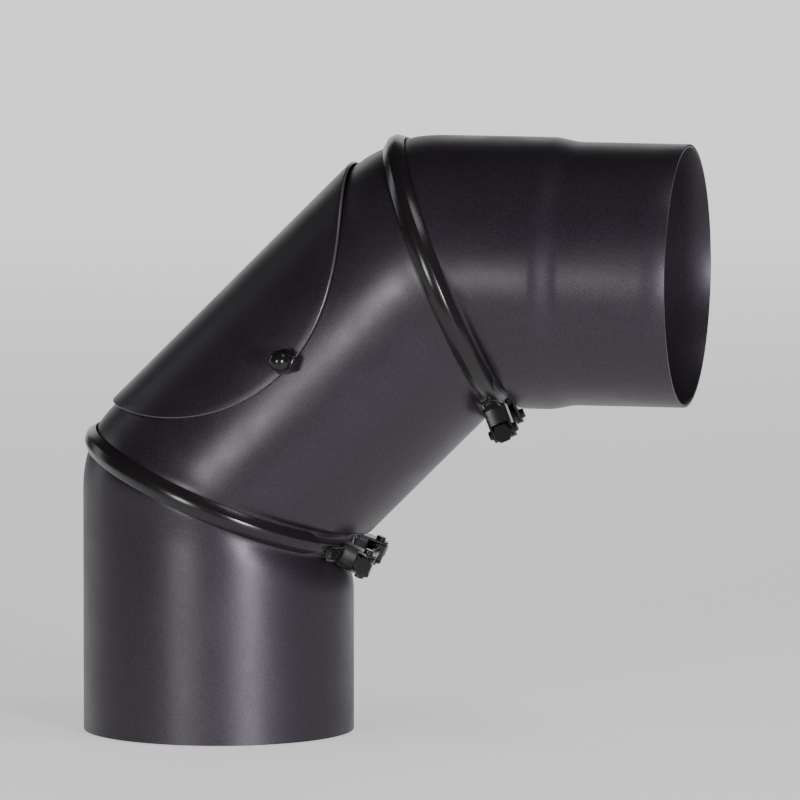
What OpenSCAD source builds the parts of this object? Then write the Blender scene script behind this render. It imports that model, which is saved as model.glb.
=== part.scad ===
// Three-piece swivelling flue elbow with an inspection door.
// Origin: centre of the lower pipe's bottom rim. +Z runs up the lower pipe, +X along the upper pipe.

/* [Pipe] */
// Outside diameter of the flue pipe
pipe_d = 154; // [120:1:200]
// Depth of the socket at the lower end, up to its stop
socket_depth = 70; // [50:1:74]
// Thickness of the steel wall
wall = 2; // [1.2:0.1:3]
// Height from the bottom rim to where the lower and middle axes cross
lower_leg = 135.6; // [120:0.1:180]
// Height of the upper pipe's axis above the bottom rim
axis_height = 264.6; // [240:0.1:300]
// Distance from the lower pipe's axis to the upper opening
reach = 270.7; // [260:0.1:340]

/* [Spigot] */
// Outside diameter of the reduced end of the upper pipe
spigot_d = 149; // [110:0.5:152]
// Where the reduction starts, measured along X
taper_start = 192; // [185:1:230]
// Length of the reduction
taper_len = 18; // [8:1:30]

/* [Swivel joints] */
// Tilt of each joint plane against the pipe on either side of it
joint_tilt = 22.5; // [22.5:0.5:24]
// Sideways lean of the upper joint plane, as the middle piece is swivelled a little
upper_lean = 5.5; // [0:0.5:8]
// Outside diameter of the neck that carries the joint lip
neck_d = 156; // [154:0.5:156]
// Outside diameter of the joint lips
lip_d = 161.2; // [160:0.1:161.4]
// Distance from a joint plane to where the pipe is plain again, on the heel side
heel_shoulder = 31; // [26:1:36]
// The same on the throat side of the lower pipe
throat_shoulder = 26; // [20:1:28]
// The same on the throat side of the middle pipe
middle_throat_shoulder = 15; // [14:0.5:24]
// The same on the throat side of the upper pipe
upper_throat_shoulder = 13; // [13:0.5:24]
// Thickness of the packing in each joint
seal_t = 0.9; // [0.6:0.1:0.9]

/* [Clamp rings] */
// Outside diameter of the clamp ring's crown
ring_d = 165.4; // [165:0.1:168]
// Sheet thickness of the clamp ring
ring_t = 1.2; // [1:0.1:1.3]
// Opening angle of the split in the clamp ring
split_angle = 14; // [8:1:16]
// Angle from the split's middle to each lug
lug_angle = 15.5; // [15:0.1:18]
// Distance from the ring's axis to the barrels
barrel_radius = 97; // [94:0.1:98]
// Shift of the lock along the joint axis
lock_shift = -2.5; // [-2.5:0.5:0]
// Turn of each clamp ring round its joint, away from the throat
clamp_turn = 4; // [-20:1:20]

/* [Inspection door] */
// Place of the door's middle along the middle pipe
door_mid = 95.5; // [90:0.5:100]
// Half of the door's length
door_half_len = 100.5; // [85:0.5:102]
// Angle from the heel line to the door's edge
door_half_angle = 77.1; // [70:0.1:78]
// Thickness of the door sheet
door_t = 1.6; // [1:0.1:2]
// Place of the studs along the middle pipe
stud_place = 98.5; // [95:0.5:100]
// Angle from the heel line to each stud
stud_angle = 75.5; // [74:0.5:76]

/* [Hidden] */

$fn = 96;
paint = "#3a3838";
steel = "#4a4a4c";
packing = "#8c8a84";

pipe_r = pipe_d / 2;
bore_r = pipe_r - wall;
neck_r = neck_d / 2;
lip_r = lip_d / 2;
ring_r = ring_d / 2;
spigot_r = spigot_d / 2;

// The axes: the middle pipe rises at 45 degrees between the two crossings.
middle_len = (axis_height - lower_leg) * sqrt(2);
upper_cross = axis_height - lower_leg;
Y = [0, 1, 0];
lower_crossing = [0, 0, lower_leg];
upper_crossing = [upper_cross, 0, axis_height];

// Each joint as [centre, throat direction, side direction, joint axis].
function frame_axis(tilt) = [sin(tilt), 0, cos(tilt)];
function frame_throat(tilt) = [cos(tilt), 0, -sin(tilt)];
lower_tilt = joint_tilt;
upper_tilt = 90 - joint_tilt;
lower_centre = lower_crossing + 2.3 * frame_axis(lower_tilt) + 0.6 * frame_throat(lower_tilt);
upper_centre = upper_crossing + 3.5 * frame_axis(upper_tilt) + 1.7 * frame_throat(upper_tilt);
lower_joint = [lower_centre, frame_throat(lower_tilt), Y, frame_axis(lower_tilt)];
upper_joint = [
  upper_centre,
  frame_throat(upper_tilt),
  cos(upper_lean) * Y - sin(upper_lean) * frame_axis(upper_tilt),
  cos(upper_lean) * frame_axis(upper_tilt) + sin(upper_lean) * Y
];

// Each pipe as [point on its axis, direction towards the throat, side direction, axis].
lower_pipe = [[0, 0, 0], [1, 0, 0], Y, [0, 0, 1]];
middle_pipe = [lower_crossing, frame_throat(45), Y, frame_axis(45)];
upper_pipe = [upper_crossing, [0, 0, -1], Y, [1, 0, 0]];

// Lip and shoulder sections.
lip_gap = 0.6;
lip_root = 4.5;
lip_crest = 1.2;
neck_end = 7;
weld_lap = 0.5;

// Clamp ring section: crown and two flanks.
crown_half = 2.4;
ring_half = 6.4;
flank_edge_r = 79.3;
flank_dr = ring_r - flank_edge_r;
flank_da = ring_half - crown_half;
flank_len = norm([flank_dr, flank_da]);
flank_in = [-ring_t * flank_da / flank_len, ring_t * flank_dr / flank_len];
inner_edge = [flank_edge_r + flank_in[0], ring_half - flank_in[1]];
inner_crown_r = ring_r - ring_t;
bevel_near = 46;
bevel_far = 52;
inner_crown_half = inner_edge[1] - (inner_crown_r - inner_edge[0]) * flank_da / flank_dr;

// Lock: lugs, barrels, bolt and nut.
lug_t = 1.5;
lug_half = 4.5;
ear_gap = 5;
ear_t = 1.6;
ear_r = 5;
barrel_r = 5;
journal_r = 2.7;
journal_half = 8.6;
bolt_r = 3;
fit_gap = 0.06;
head_h = 4;
nut_h = 5;
hex_r = 10 / sqrt(3);
bolt_x = barrel_radius * cos(lug_angle);
barrel_y = barrel_radius * sin(lug_angle);
head_y = barrel_y + barrel_r + 0.35;
tab_len = 17;

// Door stack, as radii about the middle pipe's axis.
gasket_in = pipe_r + 0.3;
gasket_out = pipe_r + 1.2;
door_in = gasket_out;
door_out = door_in + door_t;
gasket_half_len = door_half_len - 8;
gasket_half_angle = 70;
gasket_hole_len = door_half_len - 16;
gasket_hole_angle = 63;
hole_half_len = door_half_len - 20;
hole_half_angle = 60;
stud_r = 4;
stud_top = 91.5;
washer_in = door_out + 0.3;
washer_h = 1.6;
washer_r = 6.3;
nut_base = washer_in + washer_h;
cap_hex_r = 13 / sqrt(3);
cap_hex_h = 6.5;
cap_dome_r = 6.1;
cap_total = 15;
thread_depth = 11;

// ---- Placing ----

module at_joint(j) {
  multmatrix([
    [j[1][0], j[2][0], j[3][0], j[0][0]],
    [j[1][1], j[2][1], j[3][1], j[0][1]],
    [j[1][2], j[2][2], j[3][2], j[0][2]],
    [0, 0, 0, 1]
  ]) children();
}

module along_middle() {
  translate(lower_crossing) rotate([0, 45, 0]) children();
}

module along_upper() {
  translate(upper_crossing) rotate([0, 90, 0]) children();
}

// ---- Shoulders between a pipe and a joint neck ----

function around(f, r, th) = r * (cos(th) * f[1] + sin(th) * f[2]);
// Point on the neck circle at distance a along the joint axis.
function neck_point(j, r, a, th) = j[0] + around(j, r, th) + a * j[3];
// A shoulder is [side of the joint, its distance on the heel side, its distance on the throat side].
// It starts at a plane that leans a little against the joint plane.
function lean(e) = (e[1] - e[2]) / 2 / 81;
function start_at(e) = (e[1] + e[2]) / 2;
function start_normal(j, e) = e[0] * j[3] + lean(e) * j[1];
// Point where the pipe's surface line meets the start plane, moved away from the joint by more.
function pipe_point(p, j, e, r, th, more = 0) =
  let (q = p[0] + around(p, r, th))
  let (w = start_normal(j, e))
  q + (start_at(e) + more - (q - j[0]) * w) / (p[3] * w) * p[3];
function bezier(a, b, c, d, s) =
  pow(1 - s, 3) * a + 3 * pow(1 - s, 2) * s * b + 3 * (1 - s) * s * s * c + pow(s, 3) * d;
// One surface line of the shoulder: straight on from the pipe, then into the neck.
function shoulder_point(p, j, e, rp, rn, th, s) =
  let (start = pipe_point(p, j, e, rp, th))
  let (finish = neck_point(j, rn, e[0] * neck_end, th))
  let (run = (finish - start) * p[3])
  let (ease = neck_point(j, rn, e[0] * (neck_end + 3), th))
  bezier(start, start + 0.6 * run * p[3], ease, finish, s);

shoulder_steps = 6;
shoulder_sides = 60;
lap = 0.3;

// Rings of points that close into a thin tube: out along the outer face and back inside.
function shoulder_rings(p, j, e) = concat(
  [[for (k = [0:shoulder_sides - 1])
    pipe_point(p, j, e, pipe_r - lap, k * 360 / shoulder_sides, 3)]],
  [for (i = [0:shoulder_steps]) [for (k = [0:shoulder_sides - 1])
    shoulder_point(p, j, e, pipe_r, neck_r, k * 360 / shoulder_sides, i / shoulder_steps)]],
  [[for (k = [0:shoulder_sides - 1])
    neck_point(j, neck_r - lap, e[0] * (neck_end - 1.5), k * 360 / shoulder_sides)]],
  [[for (k = [0:shoulder_sides - 1])
    neck_point(j, neck_r - wall + lap, e[0] * (neck_end - 1.5), k * 360 / shoulder_sides)]],
  [for (i = [0:shoulder_steps]) [for (k = [0:shoulder_sides - 1])
    shoulder_point(p, j, e, bore_r, neck_r - wall, k * 360 / shoulder_sides,
      1 - i / shoulder_steps)]],
  [[for (k = [0:shoulder_sides - 1])
    pipe_point(p, j, e, bore_r + lap, k * 360 / shoulder_sides, 3)]]
);

module shoulder_shell(p, j, e) {
  rings = shoulder_rings(p, j, e);
  m = len(rings);
  n = shoulder_sides;
  faces = [for (i = [0:m - 1]) for (k = [0:n - 1]) for (half = [0, 1])
    let (a = i * n + k)
    let (b = i * n + (k + 1) % n)
    let (c = ((i + 1) % m) * n + (k + 1) % n)
    let (d = ((i + 1) % m) * n + k)
    let (tri = half == 0 ? [a, b, c] : [a, c, d])
    e[0] < 0 ? [tri[2], tri[1], tri[0]] : tri];
  polyhedron(points = [for (r = rings) for (q = r) q], faces = faces);
}

// Rolled lip at the end of a neck, on one side of the joint plane.
module lip(j, side) {
  at_joint(j)
    scale([1, 1, side])
      rotate_extrude()
        polygon([
          [neck_r - wall, lip_gap], [lip_r, lip_gap], [lip_r, lip_crest],
          [neck_r, lip_root], [neck_r, neck_end - weld_lap], [neck_r - wall, neck_end - weld_lap]
        ]);
}

// Everything beyond the start plane of a shoulder.
module beyond(j, e) {
  big = 1200;
  tilt = atan(lean(e));
  reach_in = start_at(e) * cos(tilt) + weld_lap;
  at_joint(j)
    rotate([0, e[0] * tilt, 0])
      translate([-big / 2, -big / 2, e[0] > 0 ? reach_in : -reach_in - big])
        cube(big);
}

// ---- Pipe segments ----

lower_end = [-1, heel_shoulder, throat_shoulder];
middle_low_end = [1, heel_shoulder, middle_throat_shoulder];
middle_high_end = [-1, heel_shoulder, middle_throat_shoulder];
upper_end = [1, heel_shoulder, upper_throat_shoulder];
stop_r = bore_r - 0.8;

module lower_segment() {
  color(paint)
    union() {
      intersection() {
        difference() {
          cylinder(r = pipe_r, h = 220);
          translate([0, 0, -1]) cylinder(r = bore_r, h = socket_depth + 1);
          cylinder(r = stop_r, h = 221);
        }
        beyond(lower_joint, lower_end);
      }
      shoulder_shell(lower_pipe, lower_joint, lower_end);
      lip(lower_joint, -1);
    }
}

module middle_segment() {
  color(paint)
    difference() {
      union() {
        intersection() {
          along_middle()
            translate([0, 0, -80])
              difference() {
                cylinder(r = pipe_r, h = 360);
                translate([0, 0, -1]) cylinder(r = bore_r, h = 362);
              }
          beyond(lower_joint, middle_low_end);
          beyond(upper_joint, middle_high_end);
        }
        shoulder_shell(middle_pipe, lower_joint, middle_low_end);
        shoulder_shell(middle_pipe, upper_joint, middle_high_end);
        lip(lower_joint, 1);
        lip(upper_joint, -1);
      }
      along_middle() heel_cutter(hole_half_len, hole_half_angle);
    }
}

taper_steps = 8;
// Radius of the upper pipe's outer face along the reduction, easing in and out.
function taper_radius(s) = pipe_r + (spigot_r - pipe_r) * (1 - cos(180 * s)) / 2;
function taper_profile(inset) = concat(
  [[pipe_r - inset, -60]],
  [for (i = [0:taper_steps])
    [taper_radius(i / taper_steps) - inset,
      taper_start - upper_cross + taper_len * i / taper_steps]],
  [[spigot_r - inset, reach - upper_cross]]
);
function reversed(list) = [for (i = [len(list) - 1:-1:0]) list[i]];

module upper_segment() {
  color(paint)
    union() {
      intersection() {
        along_upper()
          rotate_extrude()
            polygon(concat(reversed(taper_profile(0)), taper_profile(wall)));
        beyond(upper_joint, upper_end);
      }
      shoulder_shell(upper_pipe, upper_joint, upper_end);
      lip(upper_joint, 1);
    }
}

module joint_seal(j) {
  color(packing)
    at_joint(j)
      translate([0, 0, -lip_gap])
        difference() {
          cylinder(r = lip_r - 0.6, h = seal_t);
          translate([0, 0, -1]) cylinder(r = neck_r - wall + 0.4, h = seal_t + 2);
        }
}

module lower_joint_seal() {
  joint_seal(lower_joint);
}

module upper_joint_seal() {
  joint_seal(upper_joint);
}

// ---- Clamp rings ----

module at_clamp(j) {
  at_joint(j) rotate([0, 0, clamp_turn]) children();
}

module clamp_band(j) {
  color(paint)
    at_clamp(j)
      difference() {
        rotate_extrude()
          polygon([
            [flank_edge_r, -ring_half], [ring_r, -crown_half], [ring_r, crown_half],
            [flank_edge_r, ring_half], inner_edge, [inner_crown_r, inner_crown_half],
            [inner_crown_r, -inner_crown_half], [inner_edge[0], -inner_edge[1]]
          ]);
        linear_extrude(height = 40, center = true)
          polygon([
            [0, 0], [120, -120 * tan(split_angle / 2)], [120, 120 * tan(split_angle / 2)]
          ]);
        for (upside = [-1, 1])
          scale([1, 1, upside])
            translate([60, 0, crown_half + 0.4])
              rotate([90, 0, 90])
                linear_extrude(height = 60)
                  polygon([
                    [-bevel_near, 0], [bevel_near, 0], [bevel_far, 6], [-bevel_far, 6]
                  ]);
      }
}

// Radial frame of a lug: x outwards through the barrel, y along the ring.
module at_lug(side) {
  rotate([0, 0, side * lug_angle])
    translate([0, 0, lock_shift])
      scale([1, side, 1])
        children();
}

module ear() {
  linear_extrude(height = ear_t)
    difference() {
      union() {
        translate([ring_r + 0.8, -ear_r]) square([barrel_radius - ring_r - 0.8, 2 * ear_r]);
        translate([barrel_radius, 0]) circle(r = ear_r);
      }
      translate([barrel_radius, 0]) circle(r = journal_r + fit_gap);
    }
}

// Lug: a curved foot with a rounded tab and two weld dimples, and two ears folded outwards.
module clamp_lug(j, side) {
  color(steel)
    at_clamp(j)
      at_lug(side) {
        intersection() {
          difference() {
            cylinder(r = ring_r + lug_t, h = 30, center = true);
            cylinder(r = ring_r, h = 32, center = true);
          }
          translate([60, 0, 0])
            rotate([0, 90, 0])
              linear_extrude(height = 40)
                union() {
                  translate([-ear_gap - ear_t, -ear_r])
                    square([2 * (ear_gap + ear_t), 2 * ear_r]);
                  translate([-lug_half, 0]) square([2 * lug_half, tab_len]);
                  translate([0, tab_len]) circle(r = lug_half);
                }
        }
        translate([0, 0, ear_gap]) ear();
        translate([0, 0, -ear_gap - ear_t]) ear();
        for (a = [6.4, 12])
          rotate([0, 0, a])
            translate([ring_r + lug_t - 0.4, 0, 0])
              sphere(r = 1, $fn = 32);
      }
}

// Barrel: a round bar between the ears with thinner journals in their holes and a cross hole.
module clamp_barrel(j, side) {
  color(steel)
    at_clamp(j)
      difference() {
        at_lug(side)
          translate([barrel_radius, 0, 0])
            union() {
              cylinder(r = barrel_r, h = 2 * ear_gap - 0.2, center = true);
              cylinder(r = journal_r, h = 2 * journal_half, center = true);
            }
        translate([bolt_x, 0, lock_shift])
          rotate([90, 0, 0])
            cylinder(r = bolt_r + fit_gap, h = 120, center = true);
      }
}

// Clamp bolt: hex head at the front, shank through both barrels.
module clamp_bolt(j) {
  color(steel)
    at_clamp(j)
      translate([bolt_x, 0, lock_shift])
        rotate([-90, 0, 0]) {
          difference() {
            translate([0, 0, -head_y - head_h])
              cylinder(r = hex_r, h = head_h, $fn = 6);
            translate([0, 0, -head_y - head_h - 0.1])
              difference() {
                cylinder(r = hex_r + 2, h = 1.1);
                cylinder(r1 = hex_r - 1, r2 = hex_r + 0.1, h = 1.1);
              }
          }
          translate([0, 0, -head_y - 0.5])
            cylinder(r = bolt_r, h = 2 * head_y + nut_h + 4);
        }
}

module clamp_nut(j) {
  color(steel)
    at_clamp(j)
      translate([bolt_x, 0, lock_shift])
        rotate([-90, 0, 0])
          translate([0, 0, head_y])
            difference() {
              cylinder(r = hex_r, h = nut_h, $fn = 6);
              translate([0, 0, -1]) cylinder(r = bolt_r + fit_gap, h = nut_h + 2);
            }
}

module lower_clamp_band() {
  clamp_band(lower_joint);
}

module lower_clamp_front_lug() {
  clamp_lug(lower_joint, -1);
}

module lower_clamp_rear_lug() {
  clamp_lug(lower_joint, 1);
}

module lower_clamp_front_barrel() {
  clamp_barrel(lower_joint, -1);
}

module lower_clamp_rear_barrel() {
  clamp_barrel(lower_joint, 1);
}

module lower_clamp_bolt() {
  clamp_bolt(lower_joint);
}

module lower_clamp_nut() {
  clamp_nut(lower_joint);
}

module upper_clamp_band() {
  clamp_band(upper_joint);
}

module upper_clamp_front_lug() {
  clamp_lug(upper_joint, -1);
}

module upper_clamp_rear_lug() {
  clamp_lug(upper_joint, 1);
}

module upper_clamp_front_barrel() {
  clamp_barrel(upper_joint, -1);
}

module upper_clamp_rear_barrel() {
  clamp_barrel(upper_joint, 1);
}

module upper_clamp_bolt() {
  clamp_bolt(upper_joint);
}

module upper_clamp_nut() {
  clamp_nut(upper_joint);
}

// ---- Inspection door, in the middle pipe's frame with the heel towards -X ----

blank_sides = 72;
blank_rings = 8;
blank_in = 60;
blank_out = 96;

// Point of the door's outline, shrunk by s, wrapped round the pipe at radius r.
function blank_point(half_len, half_angle, r, s, k) =
  let (turn = k * 360 / blank_sides)
  let (a = s * half_angle * sin(turn))
  [-r * cos(a), r * sin(a), door_mid + s * half_len * cos(turn)];
// One skin of the blank: a middle point and rings out to the outline.
function blank_skin(half_len, half_angle, r) = concat(
  [[-r, 0, door_mid]],
  [for (i = [1:blank_rings]) for (k = [0:blank_sides - 1])
    blank_point(half_len, half_angle, r, i / blank_rings, k)]
);
function skin_index(base, i, k) = base + 1 + (i - 1) * blank_sides + k % blank_sides;
function skin_faces(base) = concat(
  [for (k = [0:blank_sides - 1]) [base, skin_index(base, 1, k), skin_index(base, 1, k + 1)]],
  [for (i = [1:blank_rings - 1]) for (k = [0:blank_sides - 1]) for (half = [0, 1])
    half == 0
      ? [skin_index(base, i, k), skin_index(base, i + 1, k), skin_index(base, i + 1, k + 1)]
      : [skin_index(base, i, k), skin_index(base, i + 1, k + 1), skin_index(base, i, k + 1)]]
);
function flipped(faces) = [for (f = faces) [f[2], f[1], f[0]]];

// Thick saddle with the outline of an ellipse laid round the pipe and edges cut square to it.
module door_blank(half_len, half_angle) {
  outer = blank_skin(half_len, half_angle, blank_out);
  inner = blank_skin(half_len, half_angle, blank_in);
  n = len(outer);
  rim = [for (k = [0:blank_sides - 1]) for (half = [0, 1])
    let (a = skin_index(0, blank_rings, k))
    let (b = skin_index(0, blank_rings, k + 1))
    half == 0 ? [a, n + a, n + b] : [a, n + b, b]];
  polyhedron(
    points = concat(outer, inner),
    faces = concat(flipped(skin_faces(n)), skin_faces(0), rim)
  );
}

// Straight cutter towards the heel with the same outline, for the hole and the gasket.
module heel_cutter(half_len, half_angle) {
  rotate([0, -90, 0])
    translate([0, 0, 15])
      linear_extrude(height = 90)
        polygon([for (k = [0:blank_sides - 1])
          let (turn = k * 360 / blank_sides)
          [door_mid + half_len * cos(turn), pipe_r * sin(half_angle * sin(turn))]]);
}

module sheet(r_in, r_out) {
  translate([0, 0, -60])
    difference() {
      cylinder(r = r_out, h = 340);
      translate([0, 0, -1]) cylinder(r = r_in, h = 342);
    }
}

// Radial frame of a stud: z outwards along the stud, y along the pipe.
module at_stud(side) {
  along_middle()
    translate([0, 0, stud_place])
      rotate([0, 0, side * stud_angle])
        rotate([0, -90, 0])
          children();
}

slot_r = stud_r + 0.6;

module door_cover() {
  color(paint)
    difference() {
      along_middle()
        intersection() {
          sheet(door_in, door_out);
          door_blank(door_half_len, door_half_angle);
        }
      for (side = [-1, 1])
        at_stud(side) {
          translate([0, 0, 70]) cylinder(r = slot_r, h = 20);
          translate([-slot_r, side > 0 ? -20 : 0, 70]) cube([2 * slot_r, 20, 20]);
        }
    }
}

module door_gasket() {
  color(packing)
    along_middle()
      difference() {
        intersection() {
          sheet(gasket_in, gasket_out);
          heel_cutter(gasket_half_len, gasket_half_angle);
        }
        heel_cutter(gasket_hole_len, gasket_hole_angle);
      }
}

module door_stud(side) {
  color(steel)
    difference() {
      at_stud(side) translate([0, 0, 72]) cylinder(r = stud_r, h = stud_top - 72);
      along_middle() cylinder(r = pipe_r, h = 200);
    }
}

module door_washer(side) {
  color(steel)
    at_stud(side)
      translate([0, 0, washer_in])
        difference() {
          cylinder(r = washer_r, h = washer_h);
          translate([0, 0, -1]) cylinder(r = stud_r + 0.3, h = washer_h + 2);
        }
}

// Domed cap nut: hex with a chamfered top, a neck and a half-round dome over a blind bore.
module door_nut(side) {
  neck_h = cap_total - cap_dome_r;
  color(steel)
    at_stud(side)
      translate([0, 0, nut_base])
        difference() {
          union() {
            intersection() {
              cylinder(r = cap_hex_r, h = cap_hex_h, $fn = 6);
              cylinder(r1 = cap_hex_r + 3.4, r2 = cap_hex_r - 0.6, h = cap_hex_h);
            }
            cylinder(r = cap_dome_r, h = neck_h);
            translate([0, 0, neck_h]) sphere(r = cap_dome_r);
          }
          translate([0, 0, -1]) cylinder(r = stud_r + fit_gap, h = thread_depth + 1);
        }
}

module front_door_stud() {
  door_stud(1);
}

module rear_door_stud() {
  door_stud(-1);
}

module front_door_washer() {
  door_washer(1);
}

module rear_door_washer() {
  door_washer(-1);
}

module front_door_nut() {
  door_nut(1);
}

module rear_door_nut() {
  door_nut(-1);
}

lower_segment();
middle_segment();
upper_segment();
lower_joint_seal();
upper_joint_seal();
lower_clamp_band();
lower_clamp_front_lug();
lower_clamp_rear_lug();
lower_clamp_front_barrel();
lower_clamp_rear_barrel();
lower_clamp_bolt();
lower_clamp_nut();
upper_clamp_band();
upper_clamp_front_lug();
upper_clamp_rear_lug();
upper_clamp_front_barrel();
upper_clamp_rear_barrel();
upper_clamp_bolt();
upper_clamp_nut();
door_cover();
door_gasket();
front_door_stud();
rear_door_stud();
front_door_washer();
rear_door_washer();
front_door_nut();
rear_door_nut();
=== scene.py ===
import math

import bmesh
import bpy
import numpy as np
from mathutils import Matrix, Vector


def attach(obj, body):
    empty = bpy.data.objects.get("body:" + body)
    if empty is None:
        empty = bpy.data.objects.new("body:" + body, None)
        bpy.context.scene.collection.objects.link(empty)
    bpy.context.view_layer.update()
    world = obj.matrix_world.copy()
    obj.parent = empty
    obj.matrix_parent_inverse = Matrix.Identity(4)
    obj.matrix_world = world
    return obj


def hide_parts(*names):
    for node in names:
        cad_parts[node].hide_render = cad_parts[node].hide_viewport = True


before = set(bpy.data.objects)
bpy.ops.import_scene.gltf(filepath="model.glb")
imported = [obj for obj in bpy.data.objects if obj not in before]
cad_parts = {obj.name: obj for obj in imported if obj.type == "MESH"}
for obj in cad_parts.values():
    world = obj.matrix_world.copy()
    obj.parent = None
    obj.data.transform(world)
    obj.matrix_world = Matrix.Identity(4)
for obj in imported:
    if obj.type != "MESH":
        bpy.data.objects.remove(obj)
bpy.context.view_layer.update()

# ---- sizes, in mm, and angles in degrees ----
PIPE, BORE, NECK, NECK_IN, SPIGOT = 77.0, 75.0, 78.0, 76.0, 74.5
RING = 82.7
LEAN = math.radians(5.5)
# the door is drawn 7 mm shorter at its upper tip than the CAD node it stands for
DOOR_MID, DOOR_LEN, DOOR_ANGLE = 92.0, 97.0, 77.1
STUD_AT, STUD_ANGLE = 98.5, 75.5
SLOT = 4.6
BARREL_AT, LUG_ANGLE, LOCK_SHIFT = 97.0, 15.5, -2.5
CLAMP_TURN = 4.0
AROUND = 160


def vec(*a):
    return np.array(a, float)


def tilt_frame(deg):
    s, c = math.sin(math.radians(deg)), math.cos(math.radians(deg))
    return vec(c, 0, -s), vec(s, 0, c)


Y = vec(0, 1, 0)
J1, J2 = vec(0, 0, 135.6), vec(129, 0, 264.6)
u1, n1 = tilt_frame(22.5)
u2, n2 = tilt_frame(67.5)
# a frame is (origin, direction to the throat, side direction, axis)
LOWER_JOINT = (J1 + 2.3 * n1 + 0.6 * u1, u1, Y, n1)
UPPER_JOINT = (
    J2 + 3.5 * n2 + 1.7 * u2,
    u2,
    math.cos(LEAN) * Y - math.sin(LEAN) * n2,
    math.cos(LEAN) * n2 + math.sin(LEAN) * Y,
)
LOWER_PIPE = (vec(0, 0, 0), vec(1, 0, 0), Y, vec(0, 0, 1))
u45, n45 = tilt_frame(45)
MIDDLE_PIPE = (J1, u45, Y, n45)
UPPER_PIPE = (J2, vec(0, 0, -1), Y, vec(1, 0, 0))

THETA = np.linspace(0, 2 * math.pi, AROUND, endpoint=False)


def rot_z(f, deg):
    a = math.radians(deg)
    c, s = math.cos(a), math.sin(a)
    return (f[0], c * f[1] + s * f[2], c * f[2] - s * f[1], f[3])


def moved(f, x=0.0, y=0.0, z=0.0):
    return (f[0] + x * f[1] + y * f[2] + z * f[3], f[1], f[2], f[3])


def local(f, pts):
    pts = np.asarray(pts, float)
    return f[0] + pts[:, 0:1] * f[1] + pts[:, 1:2] * f[2] + pts[:, 2:3] * f[3]


def circle(f, r, a, th=THETA):
    return (
        f[0]
        + r * (np.cos(th)[:, None] * f[1] + np.sin(th)[:, None] * f[2])
        + a * f[3]
    )


# ---- mesh building ----
def shade(bm, sharp):
    """Smooth faces, with every edge sharper than this angle left hard."""
    for f in bm.faces:
        f.smooth = True
    for e in bm.edges:
        e.smooth = len(e.link_faces) == 2 and e.calc_face_angle(0) < math.radians(sharp)


def build(name, verts, faces, body, nodes, material, sharp=32.0):
    mesh = bpy.data.meshes.new(name)
    mesh.from_pydata([tuple(v * 0.001) for v in verts], [], faces)
    mesh.validate()
    bm = bmesh.new()
    bm.from_mesh(mesh)
    bmesh.ops.remove_doubles(bm, verts=bm.verts, dist=1e-6)
    bmesh.ops.recalc_face_normals(bm, faces=bm.faces)
    shade(bm, sharp)
    bm.to_mesh(mesh)
    bm.free()
    obj = bpy.data.objects.new(name, mesh)
    bpy.context.scene.collection.objects.link(obj)
    mesh.materials.append(material)
    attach(obj, body)
    if nodes:
        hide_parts(*nodes)
    return obj


def cut_away(obj, name, verts, faces, outward=False):
    """Cut a closed shape out of a piece; outward turns the cutter's faces outwards first."""
    mesh = bpy.data.meshes.new(name)
    mesh.from_pydata([tuple(v * 0.001) for v in verts], [], faces)
    if outward:
        bm = bmesh.new()
        bm.from_mesh(mesh)
        bmesh.ops.recalc_face_normals(bm, faces=bm.faces)
        bm.to_mesh(mesh)
        bm.free()
    cutter = bpy.data.objects.new(name, mesh)
    bpy.context.scene.collection.objects.link(cutter)
    mod = obj.modifiers.new(name, "BOOLEAN")
    mod.object, mod.operation, mod.solver = cutter, "DIFFERENCE", "EXACT"
    graph = bpy.context.evaluated_depsgraph_get()
    cut = bpy.data.meshes.new_from_object(obj.evaluated_get(graph))
    obj.modifiers.clear()
    old = obj.data
    obj.data = cut
    bpy.data.meshes.remove(old)
    bpy.data.objects.remove(cutter)


def loft(rings, closed_along=True):
    """Quads between rings of equally many points; closed_along also joins the last to the first."""
    n, m, faces = len(rings[0]), len(rings), []
    for i in range(m if closed_along else m - 1):
        j = (i + 1) % m
        for k in range(n):
            k2 = (k + 1) % n
            faces.append((i * n + k, i * n + k2, j * n + k2, j * n + k))
    return np.concatenate(rings), faces


def lathe(f, profile, n=48, closed=False):
    """Turned solid round the frame's axis; profile is a list of (radius, height)."""
    th = np.linspace(0, 2 * math.pi, n, endpoint=False)
    verts, faces, rows = [], [], []
    for r, z in profile:
        if r < 1e-6:
            rows.append([len(verts)])
            verts.append(f[0] + z * f[3])
        else:
            rows.append(list(range(len(verts), len(verts) + n)))
            verts.extend(circle(f, r, z, th))
    pairs = list(zip(rows, rows[1:] + rows[:1] if closed else rows[1:]))
    for a, b in pairs:
        for k in range(n):
            q = [a[k % len(a)], a[(k + 1) % len(a)], b[(k + 1) % len(b)], b[k % len(b)]]
            q = list(dict.fromkeys(q))
            if len(q) > 2:
                faces.append(tuple(q))
    return verts, faces


def join(*parts):
    verts, faces = [], []
    for v, fs in parts:
        o = len(verts)
        verts.extend(list(v))
        faces.extend([tuple(i + o for i in f) for f in fs])
    return verts, faces


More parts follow.
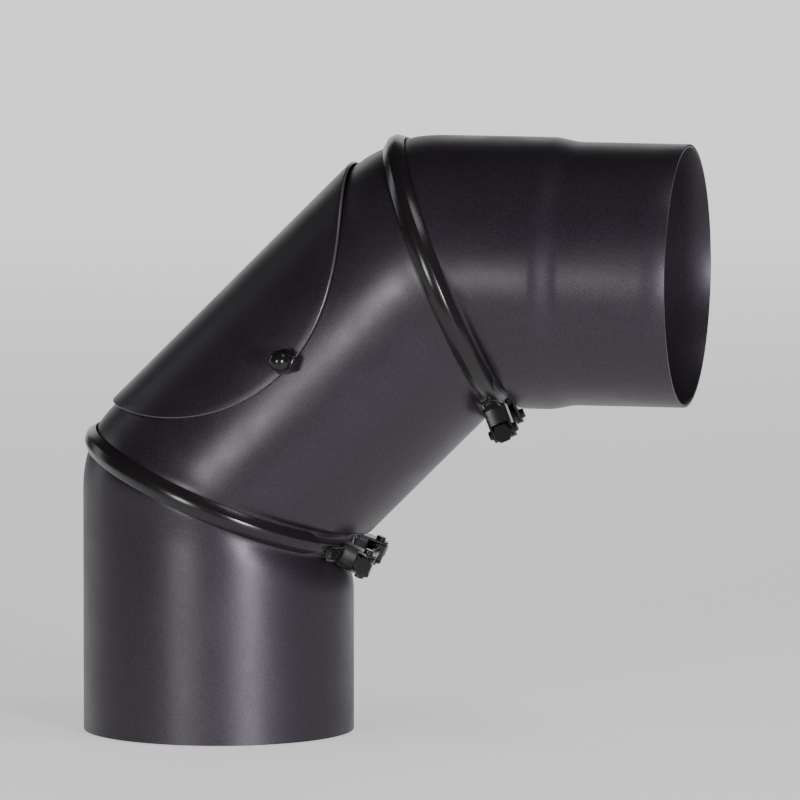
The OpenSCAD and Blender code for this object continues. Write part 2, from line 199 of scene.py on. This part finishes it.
def prism(f, outline, z0, z1, chamfer=0.0):
    """Plate with a flat outline in the frame's x-y plane, with both rims chamfered."""
    p = np.asarray(outline, float)
    n = len(p)
    nxt, prv = np.roll(p, -1, 0), np.roll(p, 1, 0)
    e1, e2 = nxt - p, p - prv
    n1_ = np.stack([e1[:, 1], -e1[:, 0]], 1)
    n2_ = np.stack([e2[:, 1], -e2[:, 0]], 1)
    nn = n1_ / np.linalg.norm(n1_, axis=1)[:, None] + n2_ / np.linalg.norm(n2_, axis=1)[:, None]
    nn /= np.linalg.norm(nn, axis=1)[:, None]
    inner = p - nn * chamfer
    levels = [(inner, z0), (p, z0 + chamfer), (p, z1 - chamfer), (inner, z1)]
    if chamfer == 0:
        levels = [(p, z0), (p, z1)]
    verts = []
    for q, z in levels:
        verts.extend(local(f, np.column_stack([q, np.full(n, z)])))
    faces = [tuple(range(n))[::-1], tuple(range(len(verts) - n, len(verts)))]
    for i in range(len(levels) - 1):
        for k in range(n):
            k2 = (k + 1) % n
            faces.append((i * n + k, i * n + k2, (i + 1) * n + k2, (i + 1) * n + k))
    return verts, faces


# ---- materials ----
def node(nt, kind, **props):
    x = nt.nodes.new(kind)
    for k, v in props.items():
        setattr(x, k, v)
    return x


def paint(name, base, spec=0.5, rough=0.42, metal=0.3, grain=1.0, scale=1.0, patch=0.06):
    """Heat-resistant metallic paint: flake sparkle, slight unevenness, faint orange peel."""
    m = bpy.data.materials.new(name)
    m.use_nodes = True
    nt = m.node_tree
    nt.nodes.clear()
    out = node(nt, "ShaderNodeOutputMaterial")
    b = node(nt, "ShaderNodeBsdfPrincipled")
    geo = node(nt, "ShaderNodeTexCoord")
    flake = node(nt, "ShaderNodeTexNoise", noise_dimensions="3D")
    flake.inputs["Scale"].default_value = 1700.0 * scale
    flake.inputs["Detail"].default_value = 3.0
    flake.inputs["Roughness"].default_value = 0.65
    cloud = node(nt, "ShaderNodeTexNoise", noise_dimensions="3D")
    cloud.inputs["Scale"].default_value = 22.0
    cloud.inputs["Detail"].default_value = 6.0
    cloud.inputs["Roughness"].default_value = 0.6
    for t in (flake, cloud):
        nt.links.new(geo.outputs["Object"], t.inputs["Vector"])
    ramp = node(nt, "ShaderNodeValToRGB")
    lo, hi = 1.0 - 0.25 * grain, 1.0 + 0.4 * grain
    ramp.color_ramp.elements[0].position = 0.38
    ramp.color_ramp.elements[0].color = (base[0] * lo, base[1] * lo, base[2] * lo, 1)
    ramp.color_ramp.elements[1].position = 0.68
    ramp.color_ramp.elements[1].color = (base[0] * hi, base[1] * hi, base[2] * hi, 1)
    nt.links.new(flake.outputs["Fac"], ramp.inputs["Fac"])
    rough_map = node(nt, "ShaderNodeMapRange")
    rough_map.inputs["From Min"].default_value = 0.3
    rough_map.inputs["From Max"].default_value = 0.7
    rough_map.inputs["To Min"].default_value = rough - patch
    rough_map.inputs["To Max"].default_value = rough + patch
    nt.links.new(cloud.outputs["Fac"], rough_map.inputs["Value"])
    bump = node(nt, "ShaderNodeBump")
    bump.inputs["Strength"].default_value = 0.1 * grain
    bump.inputs["Distance"].default_value = 0.0002
    nt.links.new(flake.outputs["Fac"], bump.inputs["Height"])
    nt.links.new(ramp.outputs["Color"], b.inputs["Base Color"])
    nt.links.new(rough_map.outputs["Result"], b.inputs["Roughness"])
    nt.links.new(bump.outputs["Normal"], b.inputs["Normal"])
    b.inputs["Metallic"].default_value = metal
    b.inputs["Specular IOR Level"].default_value = spec
    nt.links.new(b.outputs["BSDF"], out.inputs["Surface"])
    return m


PAINT = paint("pipe paint", (0.023, 0.018, 0.0245), rough=0.38, metal=0.35, grain=1.6)
DOOR_PAINT = paint("door paint", (0.021, 0.0165, 0.022), rough=0.38, metal=0.35, grain=1.6)
# lighter paint for the door's rim faces: a painted highlight along the door's edge
DOOR_EDGE_HIGHLIGHT = paint("door edge painted highlight", (0.16, 0.15, 0.16), rough=0.3, metal=0.7)
CLAMP = paint("clamp paint", (0.014, 0.012, 0.013), rough=0.24, metal=0.3, grain=0.5, patch=0.04)
STEEL = paint(
    "black fastener", (0.010, 0.009, 0.010), rough=0.22, metal=0.3, grain=0.5, scale=1.4, patch=0.05
)
PACK = paint("packing", (0.16, 0.15, 0.14), rough=0.85, metal=0.0, grain=1.4, scale=0.8)


# ---- pipe segments ----
# a shoulder is (side of the joint, where it starts on the heel side, the same on the throat side)
LOWER_END, UPPER_END = (-1, 31.0, 26.0), (1, 31.0, 13.0)
MIDDLE_LOW, MIDDLE_HIGH = (1, 31.0, 13.5), (-1, 37.0, 15.0)


def pipe_point(p, j, e, r):
    q = p[0] + r * (np.cos(THETA)[:, None] * p[1] + np.sin(THETA)[:, None] * p[2])
    w = e[0] * j[3] + (e[1] - e[2]) / 2 / 81 * j[1]
    k = ((e[1] + e[2]) / 2 - (q - j[0]) @ w) / (p[3] @ w)
    return q + k[:, None] * p[3]


def shoulder(p, j, e, rp, rn, steps=16):
    start, end = pipe_point(p, j, e, rp), circle(j, rn, e[0] * 7.0)
    run = (end - start) @ p[3]
    b = start + 0.6 * run[:, None] * p[3]
    c = circle(j, rn, e[0] * 10.0)
    rings = []
    for i in range(steps + 1):
        s = i / steps
        rings.append(
            (1 - s) ** 3 * start + 3 * (1 - s) ** 2 * s * b + 3 * (1 - s) * s * s * c + s**3 * end
        )
    return rings


def joint_end(p, j, e):
    """Rings from the end of the plain pipe over the shoulder, round the lip and back inside."""
    side = e[0]
    outer = shoulder(p, j, e, PIPE, NECK)
    lip = [(78.0, 5.2), (78.0, 4.7), (78.3, 4.2), (80.2, 1.8)]
    lip += [(80.6, 1.25), (80.6, 0.75), (80.45, 0.6)]
    inside = [(76.2, 0.6), (76.0, 0.8), (76.0, 4.0)]
    mid = [circle(j, r, side * a) for r, a in lip + inside]
    return outer + mid + shoulder(p, j, e, BORE, NECK_IN)[::-1]


def between(a, b, count):
    return [a + (b - a) * i / (count + 1) for i in range(1, count + 1)]


def lower_segment():
    p, j = LOWER_PIPE, LOWER_JOINT
    rim_out = [(76.3, 0.0), (76.8, 0.08), (77.0, 0.35)]
    rim_in = [(75.0, 0.35), (75.15, 0.08), (75.5, 0.0)]
    body = joint_end(p, j, LOWER_END)
    rings = [circle(p, r, z) for r, z in rim_out]
    rings += between(rings[-1], body[0], 6) + body
    stop = [circle(p, 74.6, 72.0), circle(p, 74.6, 70.1), circle(p, 75.0, 70.0)]
    last = [circle(p, r, z) for r, z in rim_in]
    rings += stop + between(stop[-1], last[0], 3) + last
    v, f = loft(rings)
    build("lower_pipe", v, f, "lower", ["lower_segment"], PAINT)


def heel_prism(half_len, half_angle, r0=20.0, r1=110.0):
    """Cutter towards the heel with the outline of an ellipse laid round the pipe."""
    k = np.linspace(0, 2 * math.pi, 96, endpoint=False)
    z = DOOR_MID + half_len * np.cos(k)
    y = PIPE * np.sin(math.radians(half_angle) * np.sin(k))
    lo = local(MIDDLE_PIPE, np.column_stack([np.full(96, -r0), y, z]))
    hi = local(MIDDLE_PIPE, np.column_stack([np.full(96, -r1), y, z]))
    v, f = loft([lo, hi], closed_along=False)
    return list(v), f + [tuple(range(96))[::-1], tuple(range(96, 192))]


def middle_segment():
    a = joint_end(MIDDLE_PIPE, LOWER_JOINT, MIDDLE_LOW)
    b = joint_end(MIDDLE_PIPE, UPPER_JOINT, MIDDLE_HIGH)
    rings = a[::-1]
    # a ends (reversed) on the outer start of the lower shoulder
    rings += between(rings[-1], b[0], 8) + b
    rings += between(b[-1], rings[0], 6)
    v, f = loft(rings)
    obj = build("middle_pipe", v, f, "middle", ["middle_segment"], PAINT)
    cv, cf = heel_prism(80.5, 60)
    cut_away(obj, "hole", cv, cf)
    bm = bmesh.new()
    bm.from_mesh(obj.data)
    shade(bm, 32)
    bm.to_mesh(obj.data)
    bm.free()


def upper_segment():
    p, j = UPPER_PIPE, UPPER_JOINT
    start, length, end = 192.0 - 129.0, 18.0, 270.7 - 129.0
    body = joint_end(p, j, UPPER_END)

    def taper(r_in):
        out = []
        for i in range(13):
            s = i / 12
            r = PIPE - r_in + (SPIGOT - PIPE) * (1 - math.cos(math.pi * s)) / 2
            out.append((r, start + length * s))
        return out

    outer = [circle(p, r, z) for r, z in taper(0)]
    rim = [(74.5, end - 0.35), (74.35, end - 0.1), (74.0, end)]
    rim += [(73.0, end), (72.65, end - 0.1), (72.5, end - 0.35)]
    inner = [circle(p, r, z) for r, z in taper(2.0)][::-1]
    rim_rings = [circle(p, r, z) for r, z in rim]
    rings = body[::-1][-1:] + between(body[0], outer[0], 4) + outer
    rings += between(outer[-1], rim_rings[0], 3) + rim_rings
    rings += between(rim_rings[-1], inner[0], 3) + inner
    rings += between(inner[-1], body[-1], 4) + body[::-1][:-1]
    v, f = loft(rings)
    build("upper_pipe", v, f, "upper", ["upper_segment"], PAINT)


def seal(name, j, body, cad):
    v, f = lathe(j, [(76.4, -0.6), (80.0, -0.6), (80.0, 0.3), (76.4, 0.3)], 128, closed=True)
    build(name, v, f, body, [cad], PACK)


# ---- clamp rings ----
def clamp_band(tag, j, body):
    """Rolled band with a flat crown and two flanks, its flanks bevelled away near the split."""
    gap, t = math.radians(7.2), 1.2
    th = np.concatenate(
        [
            np.linspace(gap, math.radians(32), 14, endpoint=False),
            np.linspace(math.radians(32), math.radians(44), 25, endpoint=False),
            np.linspace(math.radians(44), math.radians(316), 150, endpoint=False),
            np.linspace(math.radians(316), math.radians(328), 25, endpoint=False),
            np.linspace(math.radians(328), 2 * math.pi - gap, 15),
        ]
    )
    rows = []
    for a in th:
        side = abs(RING * math.sin(a)) if math.cos(a) > 0 else 99.0
        cut = min(1.0, max(0.04, (side - 46.0) / 6.0))
        da, dr = 4.0 * cut, 3.4 * cut
        outer = [
            (RING - dr, -2.4 - da),
            (RING - dr * 0.9, -2.4 - da * 0.93),
            (RING - 0.25, -2.6),
            (RING, -2.1),
            (RING + 0.1, 0.0),
            (RING, 2.1),
            (RING - 0.25, 2.6),
            (RING - dr * 0.9, 2.4 + da * 0.93),
            (RING - dr, 2.4 + da),
        ]
        inner = [
            (RING - dr - 0.87 * (1 - 0.1 * cut), 2.4 + da - 0.83 * cut),
            (RING - t, 1.95),
            (RING - t, -1.95),
            (RING - dr - 0.87 * (1 - 0.1 * cut), -2.4 - da + 0.83 * cut),
        ]
        out = math.cos(a) * j[1] + math.sin(a) * j[2]
        rows.append(np.array([j[0] + r * out + z * j[3] for r, z in outer + inner]))
    n = len(rows[0])
    v, f = loft(rows, closed_along=False)
    f += [tuple(range(n))[::-1], tuple(range(len(v) - n, len(v)))]
    build(tag + "_band", v, f, body, [tag + "_clamp_band"], CLAMP, sharp=38)


def lug(tag, j, side, body, cad):
    """Welded foot with a rounded tab and two weld dimples, and a web and two ears folded outwards."""
    f0 = moved(rot_z(j, side * LUG_ANGLE), z=LOCK_SHIFT)
    f = (f0[0], f0[1], side * f0[2], f0[3])
    r0, r1 = RING, RING + 1.5
    s_vals = np.concatenate(
        [
            np.linspace(-5, 5, 15),
            np.linspace(5.5, 17, 24),
            17 + 4.5 * np.sin(np.linspace(0.15, math.pi / 2 - 0.02, 12)),
        ]
    )
    t_vals = np.linspace(-1, 1, 15)
    top, bottom = [], []
    for s in s_vals:
        if s <= 5:
            w = 6.6
        elif s <= 7:
            w = 4.5 + 2.1 * (1 - (s - 5) / 2) ** 2
        elif s <= 17:
            w = 4.5
        else:
            w = math.sqrt(max(0.05, 4.5**2 - (s - 17) ** 2))
        a = s / 84.0
        for t in t_vals:
            z = w * t
            h = 0.0
            for d in (9.4, 17.5):
                q = ((s - d) ** 2 + z * z) / 1.5**2
                h += 0.55 * math.exp(-q * q * 0.7)
            edge = min(1.0, (1 - abs(t)) * w / 0.35)
            h -= 0.3 * (1 - edge) ** 2
            top.append(f[0] + (r1 + h) * (math.cos(a) * f[1] + math.sin(a) * f[2]) + z * f[3])
            bottom.append(f[0] + r0 * (math.cos(a) * f[1] + math.sin(a) * f[2]) + z * f[3])
    m, n = len(s_vals), len(t_vals)
    faces = []
    for i in range(m - 1):
        for k in range(n - 1):
            a = i * n + k
            faces.append((a, a + 1, a + n + 1, a + n))
            b = m * n + a
            faces.append((b, b + n, b + n + 1, b + 1))
    rim = [i * n for i in range(m)] + [(m - 1) * n + k for k in range(1, n)]
    rim += [i * n + n - 1 for i in range(m - 2, -1, -1)] + [k for k in range(n - 2, 0, -1)]
    for a, b in zip(rim, rim[1:] + rim[:1]):
        faces.append((a, b, m * n + b, m * n + a))
    foot = (top + bottom, faces)
    arc = np.linspace(-math.pi / 2, math.pi / 2, 20)
    outline = [(RING + 0.9, 5.0), (RING + 0.9, -5.0)]
    outline += [(BARREL_AT + 5.0 * math.cos(a), 5.0 * math.sin(a)) for a in arc]
    ears = [prism(f, outline, 5.0, 6.6, 0.25), prism(f, outline, -6.6, -5.0, 0.25)]
    web = prism(f, [(RING + 0.9, 5.0), (RING + 0.9, 3.4), (92.8, 3.4), (92.8, 5.0)], -6.6, 6.6, 0.25)
    v, fs = join(foot, *ears, web)
    build(tag + "_lug", v, fs, body, [cad], CLAMP, sharp=40)


def barrel(tag, j, side, body, cad):
    f0 = moved(rot_z(j, side * LUG_ANGLE), z=LOCK_SHIFT)
    f = moved(f0, x=BARREL_AT)
    half = [(0, 8.6), (2.2, 8.6), (2.7, 8.2), (2.7, 5.0), (4.6, 4.9), (5.0, 4.5)]
    prof = half + [(r, -z) for r, z in half[::-1]]
    v, fs = lathe(f, prof, 40)
    build(tag + "_barrel", v, fs, body, [cad], STEEL, sharp=34)


def hex_body(f, flat, z0, z1, chamfer_low, chamfer_high, n=72):
    """Hexagon whose corners are turned away in a cone at either end."""
    rr = flat / math.sqrt(3)
    th = np.linspace(0, 2 * math.pi, n, endpoint=False)
    hexr = (flat / 2) / np.cos((th + math.pi / 6) % (math.pi / 3) - math.pi / 6)
    rings = []

    def ring(z, cap):
        r = np.minimum(hexr, cap)
        around = np.cos(th)[:, None] * f[1] + np.sin(th)[:, None] * f[2]
        return f[0] + r[:, None] * around + z * f[3]

    steps = 5
    lo_cap, hi_cap = flat / 2 * 0.95, flat / 2 * 0.95
    if chamfer_low:
        for i in range(steps):
            c = lo_cap + (rr - lo_cap) * i / (steps - 1)
            rings.append(ring(z0 + (c - lo_cap) * 0.55, c))
    else:
        rings.append(ring(z0, rr))
    if chamfer_high:
        for i in range(steps):
            c = rr - (rr - hi_cap) * i / (steps - 1)
            rings.append(ring(z1 - (c - hi_cap) * 0.55, c))
    else:
        rings.append(ring(z1, rr))
    v, fs = loft(rings, closed_along=False)
    fs += [tuple(range(n))[::-1], tuple(range(len(v) - n, len(v)))]
    return v, fs


def lock_screw(tag, j, clamp, bolt, cads):
    x = BARREL_AT * math.cos(math.radians(LUG_ANGLE))
    y = BARREL_AT * math.sin(math.radians(LUG_ANGLE))
    head = y + 5.35
    base = moved(j, x=x, z=LOCK_SHIFT)
    f = (base[0], base[1], base[3], base[2])
    f = (f[0], f[1], -f[2], f[3])
    h = hex_body(f, 10.0, -head - 4.0, -head, True, False)
    low, tip = -head - 0.5, head + 8.5
    shank = lathe(f, [(0, low), (3, low), (3, head + 8.0), (2.5, tip), (0, tip)], 36)
    v, fs = join(h, shank)
    build(tag + "_bolt", v, fs, bolt, [cads[0]], STEEL, sharp=20)
    v, fs = hex_body(f, 10.0, head, head + 5.0, True, True)
    build(tag + "_nut", v, fs, clamp, [cads[1]], STEEL, sharp=20)


# ---- inspection door ----
def saddle(half_len, half_angle, r0, r1, edge, hole=None):
    """Curved sheet with the outline of an ellipse laid round the pipe."""
    n, m = 240, 26
    k = np.linspace(0, 2 * math.pi, n, endpoint=False)

    def ring(s, r, shrink=0.0):
        a = math.radians(half_angle) - shrink / r
        length = half_len - shrink
        z = DOOR_MID + s * length * np.cos(k)
        phi = s * a * np.sin(k)
        return z, phi

    def point(z, phi, r):
        return local(MIDDLE_PIPE, np.column_stack([-r * np.cos(phi), -r * np.sin(phi), z]))

    if hole:
        frac = hole
        ss = np.linspace(frac, 1, 6)
    else:
        ss = np.linspace(0.04, 1, m)
    rings = []
    for s in ss[:-1]:
        z, p = ring(s, r1, edge)
        rings.append(point(z, p, r1))
    for i in range(4):
        t = math.pi / 2 * i / 3
        z, p = ring(1, r1, edge * (1 - math.sin(t)))
        rings.append(point(z, p, r1 - edge * (1 - math.cos(t))))
    z, p = ring(1, r1, 0)
    rings.append(point(z, p, r0))
    for s in ss[::-1][1:]:
        z, p = ring(s, r0, edge)
        rings.append(point(z, p, r0))
    if hole:
        return loft(rings)
    v, f = loft(rings, closed_along=False)
    f += [tuple(range(n))[::-1], tuple(range(len(v) - n, len(v)))]
    return v, f


def door():
    v, f = saddle(DOOR_LEN, DOOR_ANGLE, 78.2, 79.8, 0.5)
    obj = build("cover", v, f, "door", ["door_cover"], DOOR_PAINT, sharp=40)
    # open slots for the studs
    for side in (-1, 1):
        out = []
        for a in np.linspace(0, math.pi, 17):
            out.append((SLOT * math.cos(a), SLOT * math.sin(a)))
        out += [(-SLOT, -14.0), (SLOT, -14.0)]
        cv, cf = prism(stud_frame(side), out, 72, 84)
        cut_away(obj, "slot", cv, cf, outward=True)
    bm = bmesh.new()
    bm.from_mesh(obj.data)
    shade(bm, 40)
    # rim faces, those standing across the sheet, take the second slot: a lighter colour, a painted
    # highlight along the door's edge
    axis, origin = Vector(n45), Vector(J1 * 0.001)
    for fc in bm.faces:
        c = fc.calc_center_median() - origin
        radial = (c - axis * c.dot(axis)).normalized()
        if abs(fc.normal.dot(radial)) < 0.8:
            fc.material_index = 1
    bm.to_mesh(obj.data)
    bm.free()
    if len(obj.data.materials) < 2:
        obj.data.materials.append(DOOR_EDGE_HIGHLIGHT)
    v, f = saddle(DOOR_LEN - 8, 70.0, 77.3, 78.2, 0.1, hole=0.905)
    build("gasket", v, f, "door", ["door_gasket"], PACK, sharp=40)


def stud_frame(side):
    """x along the pipe, y towards the heel, z out along the stud; side 1 is the front."""
    a = math.radians(STUD_ANGLE)
    out = -math.cos(a) * u45 - side * math.sin(a) * Y
    heel = -math.sin(a) * u45 + side * math.cos(a) * Y
    return (J1 + STUD_AT * n45, n45, heel, out)


def door_fixing(side, word):
    f = stud_frame(side)
    stud = [(0, 75.9), (4.0, 75.9), (4.0, 91.0), (3.5, 91.5), (0, 91.5)]
    v, fs = lathe(f, stud, 40)
    build(word + "_stud", v, fs, "middle", [word + "_door_stud"], STEEL)
    body = word + "_nut"
    w = [(4.3, 80.1), (6.1, 80.1), (6.3, 80.3), (6.3, 81.5), (6.1, 81.7), (4.3, 81.7)]
    v, fs = lathe(f, w, 56, closed=True)
    build(word + "_washer", v, fs, body, [word + "_door_washer"], STEEL)
    base = 81.7
    hexa = hex_body(f, 13.0, base, base + 6.5, False, True)
    dome = [(6.1, base + 6.0), (6.1, base + 8.9)]
    for a in np.linspace(0.08, math.pi / 2 - 0.02, 14):
        dome.append((6.1 * math.cos(a), base + 8.9 + 6.1 * math.sin(a)))
    dome += [(0, base + 15.0)]
    v, fs = join(hexa, lathe(f, dome, 56))
    build(word + "_cap_nut", v, fs, body, [word + "_door_nut"], STEEL, sharp=24)


lower_segment()
middle_segment()
upper_segment()
seal("lower_seal", LOWER_JOINT, "lower", "lower_joint_seal")
seal("upper_seal", UPPER_JOINT, "middle", "upper_joint_seal")
for tag, joint in (("lower", LOWER_JOINT), ("upper", UPPER_JOINT)):
    j = rot_z(joint, CLAMP_TURN)
    body = tag + "_clamp"
    clamp_band(tag, j, body)
    for side, word in ((-1, "front"), (1, "rear")):
        lug(tag + "_" + word, j, side, body, tag + "_clamp_" + word + "_lug")
        barrel(tag + "_" + word, j, side, body, tag + "_clamp_" + word + "_barrel")
    lock_screw(tag, j, body, tag + "_bolt", (tag + "_clamp_bolt", tag + "_clamp_nut"))
door()
door_fixing(1, "front")
door_fixing(-1, "rear")


# ---- studio ----
def emission(name, color, strength):
    m = bpy.data.materials.new(name)
    m.use_nodes = True
    nt = m.node_tree
    nt.nodes.clear()
    out = node(nt, "ShaderNodeOutputMaterial")
    e = node(nt, "ShaderNodeEmission")
    e.inputs["Color"].default_value = (*color, 1)
    e.inputs["Strength"].default_value = strength
    nt.links.new(e.outputs["Emission"], out.inputs["Surface"])
    return m


CAM_AZ, CAM_EL, CAM_DIST = math.radians(11.278), math.radians(6.658), 10.0
TARGET = Vector((0.105128, 0, 0.190324))
BACK = Vector(
    (math.sin(CAM_AZ) * math.cos(CAM_EL), -math.cos(CAM_AZ) * math.cos(CAM_EL), math.sin(CAM_EL))
)

cam_data = bpy.data.cameras.new("camera")
cam_data.sensor_width = 36.0
cam_data.lens = 793.85
cam_data.clip_start, cam_data.clip_end = 0.5, 60.0
cam = bpy.data.objects.new("camera", cam_data)
bpy.context.scene.collection.objects.link(cam)
cam.location = TARGET + BACK * CAM_DIST
cam.rotation_mode = "QUATERNION"
cam.rotation_quaternion = (-BACK).to_track_quat("-Z", "Y")
bpy.context.scene.camera = cam


def plane(name, size, material, location=(0, 0, 0), normal=(0, 0, 1)):
    h = size / 2
    mesh = bpy.data.meshes.new(name)
    mesh.from_pydata([(-h, -h, 0), (h, -h, 0), (h, h, 0), (-h, h, 0)], [], [(0, 1, 2, 3)])
    mesh.materials.append(material)
    o = bpy.data.objects.new(name, mesh)
    bpy.context.scene.collection.objects.link(o)
    o.location = location
    o.rotation_mode = "QUATERNION"
    o.rotation_quaternion = Vector(normal).to_track_quat("Z", "Y")
    return o


def floor_material():
    m = bpy.data.materials.new("floor")
    m.use_nodes = True
    nt = m.node_tree
    b = nt.nodes["Principled BSDF"]
    b.inputs["Base Color"].default_value = (0.9, 0.9, 0.9, 1)
    b.inputs["Roughness"].default_value = 0.9
    b.inputs["Emission Color"].default_value = (1, 1, 1, 1)
    b.inputs["Emission Strength"].default_value = 0.6
    return m


BEHIND = Vector((-math.sin(CAM_AZ), math.cos(CAM_AZ), 0))
plane("floor", 3.2, floor_material(), location=(BEHIND.x * 1.05, BEHIND.y * 1.05, -0.0006))
WALL = 2.6
plane(
    "backdrop",
    2.3,
    emission("backdrop", (1, 1, 1), 1.25),
    location=(-math.sin(CAM_AZ) * WALL, math.cos(CAM_AZ) * WALL, 0.5),
    normal=(math.sin(CAM_AZ), -math.cos(CAM_AZ), 0),
)

world = bpy.data.worlds.new("world")
world.use_nodes = True
bg = world.node_tree.nodes["Background"]
bg.inputs["Color"].default_value = (1.0, 0.98, 1.0, 1)
bg.inputs["Strength"].default_value = 0.04
bpy.context.scene.world = world


def softbox(name, az, el, dist, w, h, power, color=(1, 1, 1), target=TARGET):
    a, e = math.radians(az), math.radians(el)
    d = Vector((math.sin(a) * math.cos(e), -math.cos(a) * math.cos(e), math.sin(e)))
    light = bpy.data.lights.new(name, "AREA")
    light.shape = "RECTANGLE"
    light.size, light.size_y = w, h
    light.energy = power
    light.color = color
    o = bpy.data.objects.new(name, light)
    bpy.context.scene.collection.objects.link(o)
    o.location = target + d * dist
    o.rotation_mode = "QUATERNION"
    o.rotation_quaternion = d.to_track_quat("Z", "Y")
    return o


softbox("key", 35.0, 2.5, 2.4, 0.45, 0.5, 66.0, (0.95, 0.92, 1.0))
softbox("left fill", -20.0, 2.0, 2.4, 0.4, 0.5, 26.0)
softbox("left edge", -112.0, 10.0, 2.2, 0.5, 1.4, 4.0, (0.92, 0.92, 1.0))
softbox("top right", 75.0, 58.0, 2.2, 0.7, 0.7, 7.0)
